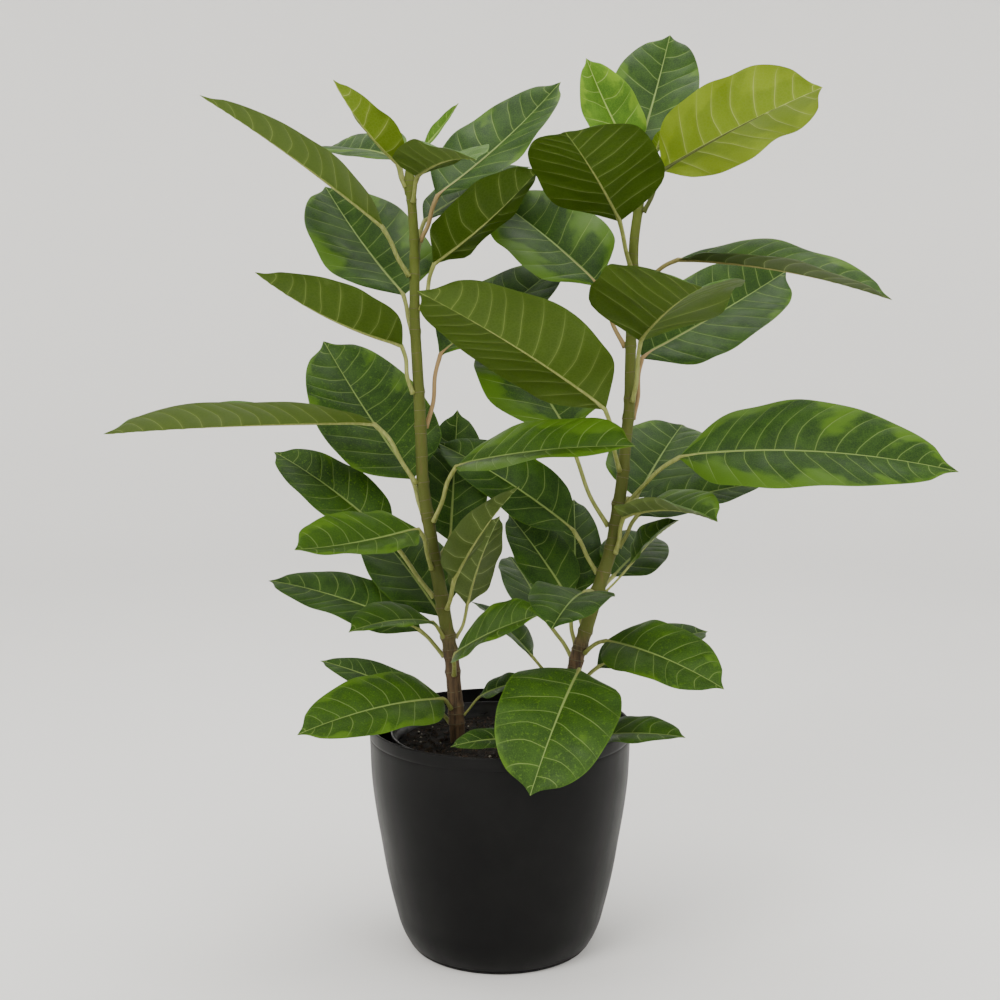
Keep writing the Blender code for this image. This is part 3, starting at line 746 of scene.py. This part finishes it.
def makeStem(key, finish):
    s = stemSettings
    ends, rings = readRings("stem_" + key, 12)
    if ends[0][2] > ends[1][2]:
        ends, rings = ends[::-1], rings[::-1]
    centres = np.array([ring.mean(axis=0) for ring in rings])
    radii = np.array([np.linalg.norm(ring - ring.mean(axis=0), axis=1).mean() for ring in rings])
    shoot = ends[1] - centres[-1]
    centres = np.vstack([centres, [centres[-1] + shoot * part for part in shootTip["along"]]])
    radii = np.concatenate([radii, radii[-1] * np.array(shootTip["thin"])])
    steps = np.linalg.norm(np.diff(centres, axis=0), axis=1)
    knots = np.concatenate([[0.0], np.cumsum(steps)])
    places = np.linspace(0.0, knots[-1], int(knots[-1] / s["step"]))
    path = smoothRun(knots, centres, places)
    size = smoothRun(knots, radii, places)
    for foot in leafFeet[key]:
        size = size * (1 + s["swell"] * np.exp(-((path[:, 2] - foot[2]) / s["swellWidth"]) ** 2))
    rows = tubeRows(path, size, s["sides"])
    soilTop = soilHigh[2]
    for index, row in enumerate(rows):
        share = 1.0 - float(softStep(s["barkTo"], s["barkFrom"], row[0][2] - soilTop))
        depth = s["bark"] * (0.25 + 0.75 * share)
        for step, point in enumerate(row):
            spot = Vector((point[0] * s["grain"], point[1] * s["grain"],
                           point[2] * s["grainLength"]))
            lift = noise.noise(spot) + 0.5 * noise.noise(spot * 2.3)
            row[step] = point + unit(point - path[index]) * depth * lift
    points = np.vstack([*rows, ends[0], ends[1]])
    piece = newPiece("stem" + key.upper(), points, tubeFaces(len(rows), s["sides"], 0), [finish])
    heights = np.array([v.co.z for v in piece.data.vertices]) - soilTop
    setValues(piece, {"barkShare": 1.0 - softStep(s["barkTo"], s["barkFrom"], heights),
                      "height": heights / heights.max()})
    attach(piece, "root")
    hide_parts("stem_" + key)
    return path, size


# Geometry Nodes: scar rings round the stems, crumbs on the soil

def newTree(name, inputs):
    tree = bpy.data.node_groups.new(name, "GeometryNodeTree")
    tree.interface.new_socket("Geometry", in_out="INPUT", socket_type="NodeSocketGeometry")
    for label, kind, value in inputs:
        socket = tree.interface.new_socket(label, in_out="INPUT", socket_type=kind)
        if value is not None:
            socket.default_value = value
    tree.interface.new_socket("Geometry", in_out="OUTPUT", socket_type="NodeSocketGeometry")
    return tree, tree.nodes.new("NodeGroupInput"), tree.nodes.new("NodeGroupOutput")


def bakeTree(source, tree, values, name):
    # runs the tree on the source object and keeps the result as a plain mesh
    modifier = source.modifiers.new(tree.name, "NODES")
    modifier.node_group = tree
    for item in tree.interface.items_tree:
        if item.item_type == "SOCKET" and item.in_out == "INPUT" and item.name in values:
            modifier[item.identifier] = values[item.name]
    graph = bpy.context.evaluated_depsgraph_get()
    mesh = bpy.data.meshes.new_from_object(source.evaluated_get(graph))
    source.modifiers.remove(modifier)
    mesh.name = name
    return newObject(name, mesh)


def endTree(tree, given, result, geometry):
    paint = addNode(tree, "GeometryNodeSetMaterial", Geometry=geometry,
                    Material=given.outputs["Finish"])
    setInput(result, "Geometry", paint.outputs["Geometry"])


def scarTree():
    tree, given, result = newTree("scarRings", [
        ("Ring Thickness", "NodeSocketFloat", 0.07), ("Ring Points", "NodeSocketInt", 26),
        ("Finish", "NodeSocketMaterial", None)])
    circle = addNode(tree, "GeometryNodeCurvePrimitiveCircle", {"mode": "RADIUS"},
                     Resolution=given.outputs["Ring Points"], Radius=1.0)
    section = addNode(tree, "GeometryNodeCurvePrimitiveCircle", {"mode": "RADIUS"},
                      Resolution=6, Radius=given.outputs["Ring Thickness"])
    ring = addNode(tree, "GeometryNodeCurveToMesh", Curve=circle.outputs["Curve"],
                   Profile_Curve=section.outputs["Curve"])
    way = addNode(tree, "GeometryNodeInputNamedAttribute", {"data_type": "FLOAT_VECTOR"},
                  Name="way")
    size = addNode(tree, "GeometryNodeInputNamedAttribute", Name="size")
    turn = addNode(tree, "FunctionNodeAlignRotationToVector", {"axis": "Z"},
                   Vector=way.outputs["Attribute"])
    spread = addNode(tree, "GeometryNodeInstanceOnPoints", Points=given.outputs["Geometry"],
                     Instance=ring.outputs["Mesh"], Rotation=turn.outputs["Rotation"],
                     Scale=size.outputs["Attribute"])
    real = addNode(tree, "GeometryNodeRealizeInstances", Geometry=spread.outputs["Instances"])
    smooth = addNode(tree, "GeometryNodeSetShadeSmooth", Geometry=real.outputs["Geometry"])
    endTree(tree, given, result, smooth.outputs["Geometry"])
    return tree


def crumbTree():
    tree, given, result = newTree("soilCrumbs", [
        ("Density", "NodeSocketFloat", 30000.0), ("Small", "NodeSocketVector", (0.001,) * 3),
        ("Large", "NodeSocketVector", (0.003,) * 3), ("Roughen", "NodeSocketFloat", 0.0008),
        ("Seed", "NodeSocketInt", 4), ("Finish", "NodeSocketMaterial", None)])
    normal = tree.nodes.new("GeometryNodeInputNormal")
    parts = addNode(tree, "ShaderNodeSeparateXYZ", Vector=normal.outputs["Normal"])
    facing = mathNode(tree, "GREATER_THAN", parts.outputs["Z"], 0.6)
    points = addNode(tree, "GeometryNodeDistributePointsOnFaces",
                     Mesh=given.outputs["Geometry"], Selection=facing,
                     Density=given.outputs["Density"], Seed=given.outputs["Seed"])
    grain = addNode(tree, "GeometryNodeMeshIcoSphere", Radius=1.0, Subdivisions=1)
    spin = addNode(tree, "FunctionNodeRandomValue", {"data_type": "FLOAT_VECTOR"},
                   Seed=given.outputs["Seed"])
    setInput(spin, 1, (6.28,) * 3)
    turn = addNode(tree, "FunctionNodeEulerToRotation", Euler=spin.outputs[0])
    size = addNode(tree, "FunctionNodeRandomValue", {"data_type": "FLOAT_VECTOR"})
    setInput(size, 0, given.outputs["Small"])
    setInput(size, 1, given.outputs["Large"])
    spread = addNode(tree, "GeometryNodeInstanceOnPoints", Points=points.outputs["Points"],
                     Instance=grain.outputs["Mesh"], Rotation=turn.outputs["Rotation"],
                     Scale=size.outputs[0])
    real = addNode(tree, "GeometryNodeRealizeInstances", Geometry=spread.outputs["Instances"])
    rough = addNode(tree, "ShaderNodeTexNoise", Scale=420.0, Detail=2.0)
    shift = addNode(tree, "ShaderNodeVectorMath", {"operation": "SUBTRACT"})
    setInput(shift, 0, rough.outputs["Color"])
    setInput(shift, 1, (0.5,) * 3)
    grow = addNode(tree, "ShaderNodeVectorMath", {"operation": "SCALE"},
                   Scale=given.outputs["Roughen"])
    setInput(grow, 0, shift.outputs["Vector"])
    moved = addNode(tree, "GeometryNodeSetPosition", Geometry=real.outputs["Geometry"],
                    Offset=grow.outputs["Vector"])
    endTree(tree, given, result, moved.outputs["Geometry"])
    return tree


def makeScars(key, path, size, tree, finish):
    # one ring at every leaf foot, and old scars between them
    scars = {"oldGap": 0.019, "thickness": 0.055, "aboveSoil": 0.012, "belowTip": 0.03,
             "fromFoot": 0.006, "fit": 0.985, "tilt": 0.10}
    feet = [foot[2] for foot in leafFeet[key]]
    height = soilHigh[2] + scars["aboveSoil"]
    old = []
    while height < path[-1][2] - scars["belowTip"]:
        if min(abs(height - foot) for foot in feet) > scars["fromFoot"]:
            old.append(height)
        height += scars["oldGap"] * (0.8 + 0.4 * math.sin(height * 900.0) ** 2)
    spots, ways, sizes = [], [], []
    lean = unit(np.gradient(path, axis=0))
    for height in sorted(feet + old):
        index = int(np.argmin(np.abs(path[:, 2] - height)))
        tilt = np.array([scars["tilt"] * math.sin(height * 700.0), scars["tilt"], 0.0])
        spots.append(path[index])
        ways.append(unit(lean[index] + tilt))
        sizes.append(size[index] * scars["fit"])
    mesh = bpy.data.meshes.new("scarSpots")
    mesh.from_pydata([tuple(spot) for spot in spots], [], [])
    mesh.attributes.new("way", "FLOAT_VECTOR", "POINT").data.foreach_set("vector", np.ravel(ways))
    mesh.attributes.new("size", "FLOAT", "POINT").data.foreach_set("value", sizes)
    source = newObject("scarSpots", mesh)
    piece = bakeTree(source, tree, {"Ring Thickness": scars["thickness"], "Finish": finish},
                     "scarRings" + key.upper())
    bpy.data.objects.remove(source)
    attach(piece, "root")


def makeScarFinish():
    scar = {"line": (0.075, 0.060, 0.022), "pale": (0.15, 0.135, 0.06)}
    made, tree, shader, place = newMaterial("scarSkin", scar["line"])
    grain = noiseNode(tree, place, 260.0, 4.0, 0.6)
    base = gradeColours(tree, grain, 0.4, 0.7, scar["line"], scar["pale"])
    dress(shader, base, stepNode(tree, grain, 0.3, 0.7, 0.65, 0.85))
    addBump(tree, shader, grain, 0.4, 0.0005)
    return made


stemSkin = makeStemFinish()
scarRings, scarSkin = scarTree(), makeScarFinish()
for stemKey in ("a", "b"):
    stemPath, stemSize = makeStem(stemKey, stemSkin)
    makeScars(stemKey, stemPath, stemSize, scarRings, scarSkin)
print("stems and their scars are grown")


# pots

def roundCorner(centre, radius, start, end, count=6):
    angles = np.radians(np.linspace(start, end, count))
    return [(centre[0] + radius * math.cos(a), centre[1] + radius * math.sin(a)) for a in angles]


def sideOf(nodeName):
    # heights of a turned CAD node's rings, and the outer radius at each
    spots = {}
    for vert in nodes[nodeName].data.vertices:
        spots.setdefault(round(vert.co.z, 5), []).append(math.hypot(vert.co.x, vert.co.y))
    heights = sorted(spots)
    return heights, [max(spots[height]) for height in heights]


def makePotFinish():
    pot = {"black": (0.0022, 0.0022, 0.0023), "worn": (0.0042, 0.0042, 0.0041),
           "dust": (0.10, 0.095, 0.085)}
    made, tree, shader, place = newMaterial("potPlastic", pot["black"])
    cloud = noiseNode(tree, place, 9.0, 5.0, 0.6)
    base = gradeColours(tree, cloud, 0.35, 0.7, pot["black"], pot["worn"])
    speck = noiseNode(tree, place, 640.0, 2.0)
    height = addNode(tree, "ShaderNodeSeparateXYZ", Vector=place).outputs["Z"]
    low = stepNode(tree, height, 0.0, 0.03, 0.06, 0.008)  # dust lies near the floor
    dust = times(tree, stepNode(tree, speck, 0.56, 0.68), low)
    dust = mathNode(tree, "ADD", dust, times(tree, low, 0.10))
    base = mixColours(tree, dust, base, pot["dust"])
    brushed = noiseNode(tree, stretched(tree, place, (22.0, 22.0, 5.0)), 1.0, 6.0, 0.7)
    dress(shader, base, stepNode(tree, brushed, 0.3, 0.7, 0.34, 0.46), 0.11)
    fine = noiseNode(tree, place, 1500.0, 2.0)
    addBump(tree, shader, mathNode(tree, "MULTIPLY_ADD", cloud, 0.6, fine), 0.06, 0.0006)
    return made


def makeOuterPot(finish):
    pot = {"steps": 180, "lip": 0.0014, "band": 0.0125, "groove": 0.0007, "foot": 0.003,
           "wall": 0.0030, "hollow": 0.001, "sideSteps": 56, "floor": 0.0042}
    heights, outer = sideOf("outer_pot")
    low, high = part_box("outer_pot")
    top, rim = high[2], high[0]
    lip, foot, wall = pot["lip"], pot["foot"], pot["wall"]
    groove = top - pot["band"]
    side = [(h, r) for h, r in zip(heights, outer) if 0.0 < h < top - 0.02 and r > 0.05]
    side = [(low[2], outer[0]), *side, (groove - 0.001, rim - 0.0004)]
    run = np.linspace(low[2] + foot, groove - 0.0015, pot["sideSteps"])
    radii = smoothRun([h for h, r in side], [r for h, r in side], run)
    # from the slightly hollow underside up the side to the groove under the band
    profile = [(0.0, low[2] + pot["hollow"]), (outer[0] * 0.86, low[2] + pot["hollow"]),
               (outer[0] * 0.885, low[2]), (outer[0] - foot * 0.55, low[2])]
    profile += roundCorner((radii[0] - foot, run[0]), foot, -70, -8)
    profile += list(zip(radii, run))
    profile += [(rim - 0.0003 - pot["groove"] * 0.4, groove - 0.0006),
                (rim - 0.0003 - pot["groove"], groove), (rim - 0.0004, groove + 0.0007)]
    # the band, the rounded rim and the inner wall down to the floor
    profile += [(rim - 0.0001, groove + 0.003), (rim, top - lip - 0.003)]
    profile += roundCorner((rim - lip, top - lip), lip, 0, 180, 14)
    profile += [(rim - wall + 0.0002, groove)]
    profile += [(r - wall, h) for r, h in zip(radii[::-1], run[::-1]) if h > 0.02]
    profile += [(radii[4] - wall - 0.004, pot["floor"] + 0.0003), (0.0, pot["floor"])]
    piece = turnedPiece("outerPot", profile, pot["steps"], finish)
    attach(piece, "root")
    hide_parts("outer_pot")


def makeGrowPot(finish):
    pot = {"steps": 128, "wall": 0.0012, "lip": 0.0011, "overhang": 0.003, "rib": 0.00025,
           "sideSteps": 24}
    low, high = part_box("grow_pot")
    foot, top, rim = low[2], high[2], high[0]
    wall, lip = pot["wall"], pot["lip"]
    base = max(r for h, r in zip(*sideOf("grow_pot")) if h < foot + 0.003)
    upper = rim - pot["overhang"]
    profile = [(0.0, foot), (base - 0.002, foot), (base, foot + 0.002)]
    run = np.linspace(foot + 0.004, top - 0.010, pot["sideSteps"])
    side = base + (upper - base) * (run - foot) / (top - foot)
    # shallow ribs run round the wall under the rim
    side = side + pot["rib"] * np.sin(run * 900.0) * softStep(top - 0.05, top - 0.02, run)
    profile += list(zip(side, run))
    profile += [(upper + 0.0012, top - 0.0088), (rim - 0.0004, top - 0.0072), (rim, top - 0.0055)]
    profile += roundCorner((rim - lip, top - lip), lip, 0, 180, 10)
    profile += [(rim - 2.4 * lip, top - 0.004), (upper - wall, top - 0.009)]
    profile += [(r - wall, h) for r, h in zip(side[::-1], run[::-1])]
    profile += [(base - wall - 0.002, foot + wall), (0.0, foot + wall)]
    piece = turnedPiece("growPot", profile, pot["steps"], finish)
    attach(piece, "root")
    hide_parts("grow_pot")


def makeGrowFinish():
    plastic = {"black": (0.006, 0.006, 0.007), "grey": (0.016, 0.015, 0.014),
               "smear": (0.024, 0.018, 0.012)}
    made, tree, shader, place = newMaterial("growPlastic", plastic["black"])
    cloud = noiseNode(tree, place, 30.0, 4.0, 0.6)
    base = gradeColours(tree, cloud, 0.35, 0.7, plastic["black"], plastic["grey"])
    smear = noiseNode(tree, stretched(tree, place, (60.0, 60.0, 120.0)), 1.0, 5.0, 0.7)
    base = gradeColours(tree, smear, 0.6, 0.8, base, plastic["smear"], 0.35)
    dress(shader, base, stepNode(tree, smear, 0.3, 0.7, 0.26, 0.45), 0.22)
    addBump(tree, shader, cloud, 0.1, 0.0006)
    return made


makeOuterPot(makePotFinish())
makeGrowPot(makeGrowFinish())
print("pots are turned")


# soil

def makeSoilFinish():
    soil = {"dark": (0.003, 0.0025, 0.002), "brown": (0.014, 0.009, 0.005),
            "fibre": (0.040, 0.027, 0.014)}
    made, tree, shader, place = newMaterial("darkSoil", soil["brown"])
    lumps = noiseNode(tree, place, 110.0, 6.0, 0.7)
    base = gradeColours(tree, lumps, 0.38, 0.66, soil["dark"], soil["brown"])
    fibre = noiseNode(tree, stretched(tree, place, (700.0, 160.0, 400.0)), 1.0, 3.0, 0.6)
    base = gradeColours(tree, fibre, 0.60, 0.72, base, soil["fibre"], 0.7)
    dress(shader, base, 0.95, 0.25)
    addBump(tree, shader, lumps, 0.9, 0.002)
    return made


def makeBitFinish(name, first, second, rough):
    made, tree, shader, place = newMaterial(name, second)
    tint = noiseNode(tree, place, 95.0, 3.0, 0.7)
    dress(shader, gradeColours(tree, tint, 0.38, 0.64, first, second), rough)
    addBump(tree, shader, noiseNode(tree, place, 800.0), 0.5, 0.0008)
    return made


def makeSoil(finish):
    soil = {"rings": 40, "steps": 120, "lumps": 0.0016, "inset": 0.0003, "mound": 0.0030,
            "below": 0.0012}
    low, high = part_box("soil")
    base = max(r for h, r in zip(*sideOf("soil")) if h < low[2] + 0.001)
    edge = high[0] - soil["inset"]
    # radius, height and size of the lumps of each ring, from the underside to the top's middle
    rows = [(0.0, low[2], 0.0), (base, low[2], 0.0), (base + 0.002, low[2] + 0.005, 0.0),
            (edge - 0.0006, high[2] - 0.0060, 0.0)]
    for ring in range(soil["rings"] + 1):
        share = 1 - ring / soil["rings"]
        height = high[2] - soil["below"] - soil["mound"] * share**2
        rows.append((edge * share, height, soil["lumps"] * float(softStep(1.0, 0.93, share))))
    points = []
    for radius, height, lumps in rows:
        for step in range(soil["steps"]):
            angle = step * 2 * math.pi / soil["steps"]
            x, y = radius * math.cos(angle), radius * math.sin(angle)
            lift = lumps * (noise.noise(Vector((x * 60, y * 60, 1.0)))
                            + 0.6 * noise.noise(Vector((x * 170, y * 170, 4.0))))
            points.append((x, y, height + lift))
    piece = newPiece("soilBed", points, ringFaces(len(rows), soil["steps"]), [finish])
    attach(piece, "root")
    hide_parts("soil")
    return piece, edge


def makeBits(bed, edge, tree):
    chips = makeBitFinish("barkChips", (0.008, 0.005, 0.003), (0.042, 0.025, 0.012), 0.9)
    grit = makeBitFinish("paleGrit", (0.20, 0.18, 0.14), (0.40, 0.37, 0.31), 0.85)
    bits = {
        "barkBits": {"Density": 26000.0, "Small": (0.0008, 0.0008, 0.0005), "Seed": 11,
                     "Large": (0.0036, 0.0024, 0.0015), "Roughen": 0.0018, "Finish": chips},
        "paleBits": {"Density": 650.0, "Small": (0.0008, 0.0008, 0.0008), "Seed": 23,
                     "Large": (0.0021, 0.0019, 0.0017), "Roughen": 0.0010, "Finish": grit},
    }
    margin = 0.006
    # only the bed's top carries them, short of its edge, so that none reaches the pot wall
    top = bed.data.copy()
    build = bmesh.new()
    build.from_mesh(top)
    outside = [face for face in build.faces if face.normal.z < 0.3
               or math.hypot(*face.calc_center_median()[:2]) > edge - margin]
    bmesh.ops.delete(build, geom=outside, context="FACES")
    build.to_mesh(top)
    build.free()
    source = newObject("crumbPatch", top)
    for name, values in bits.items():
        piece = bakeTree(source, tree, values, name)
        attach(piece, "root")
    bpy.data.objects.remove(source)


soilBed, soilEdge = makeSoil(makeSoilFinish())
makeBits(soilBed, soilEdge, crumbTree())
print("soil and its crumbs are laid")
